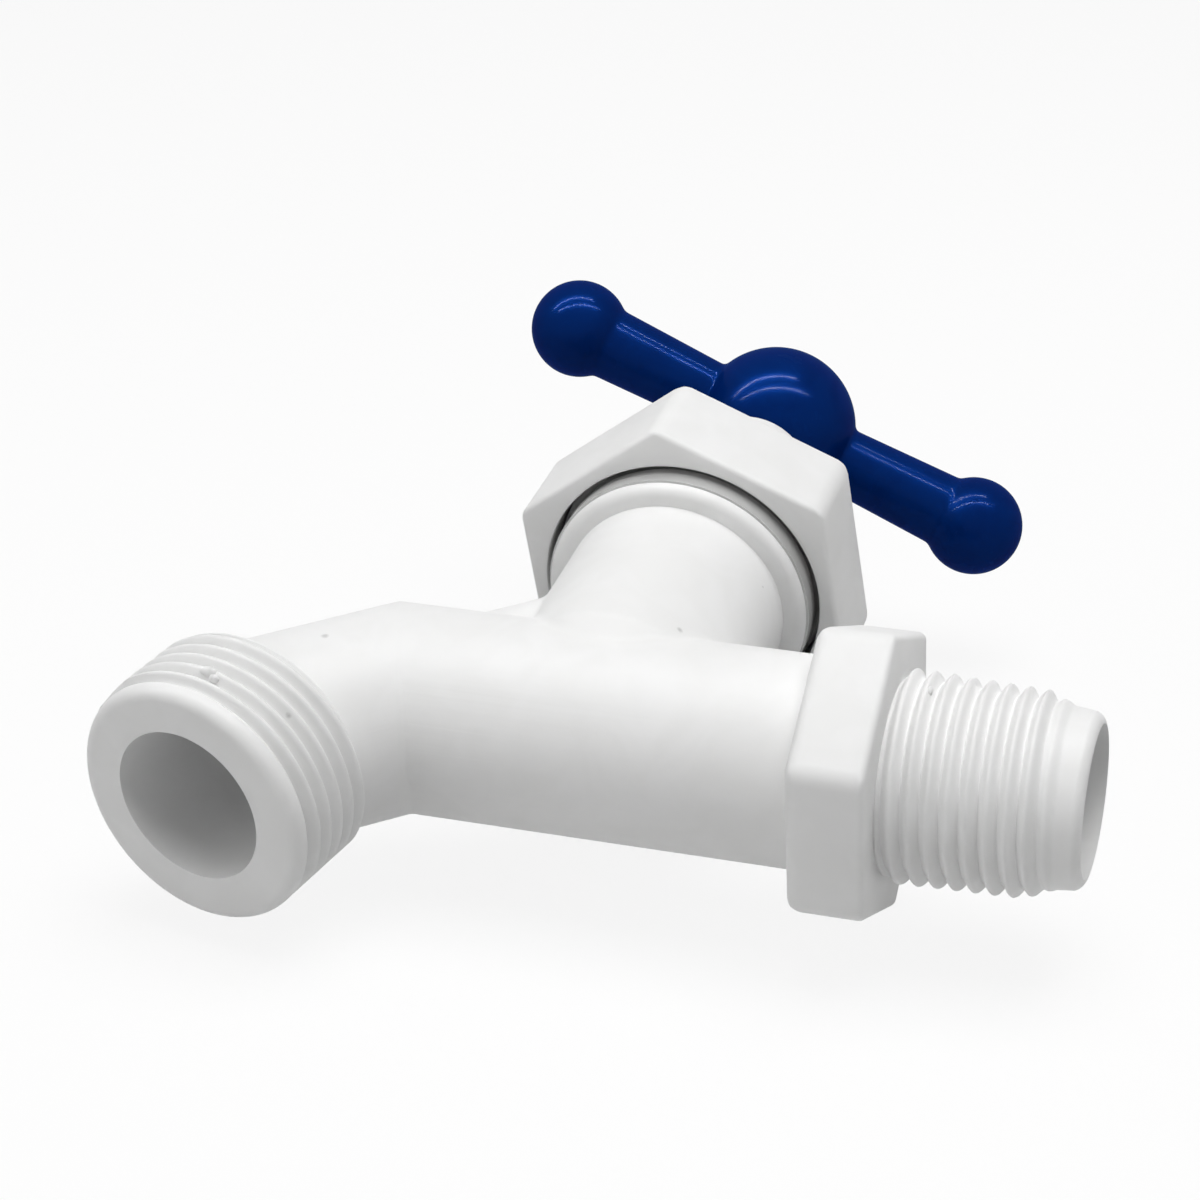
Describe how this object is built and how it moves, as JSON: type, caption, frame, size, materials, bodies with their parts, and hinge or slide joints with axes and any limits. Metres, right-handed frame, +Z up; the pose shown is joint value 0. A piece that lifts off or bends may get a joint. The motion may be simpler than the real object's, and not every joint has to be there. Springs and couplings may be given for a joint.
{
  "type": "garden tap",
  "caption": "Plastic garden tap with tapered male inlet, bent spout with threaded hose outlet, hexagonal cap nut and ball-ended T-handle.",
  "frame": {"origin": "centre of the hexagon's inlet side, where the inlet thread begins, on the tube's axis", "axes": "+X along the tube from inlet to outlet, +Z up along the valve to the handle, +Y completes the right-handed frame"},
  "size_m": [0.0956, 0.0376, 0.0988],
  "materials": {
    "white_plastic": "satin moulded white plastic",
    "stem_plastic": "matt moulded white plastic",
    "blue_plastic": "gloss moulded blue plastic",
    "rubber": "matt black rubber",
    "brass": "plain brass",
    "steel": "plated steel"
  },
  "bodies": {
    "root": {"faucet_body": "white_plastic", "cap_nut": "white_plastic", "bonnet": "white_plastic", "bonnet_gasket": "rubber", "stem_seals": "rubber", "gland_bush": "white_plastic"},
    "valve": {"valve_disc": "stem_plastic", "seat_washer": "rubber", "washer_screw": "brass"},
    "spindle": {"stem": "stem_plastic", "handle": "blue_plastic", "handle_screw": "steel"}
  },
  "joints": [
    {"name": "valve_lift", "type": "slide", "parent": "root", "child": "valve", "axis": [0, 0, 1], "range_m": [0, 0.00562]},
    {"name": "handle_turn", "type": "hinge", "parent": "valve", "child": "spindle", "pos_m": [0.0295, 0, 0.0661], "axis": [0, 0, 1], "range_deg": [0, 811]}
  ],
  "couplings": [
    {"joint": "handle_turn", "follows": "valve_lift", "rad_per_m": 2513.3}
  ]
}
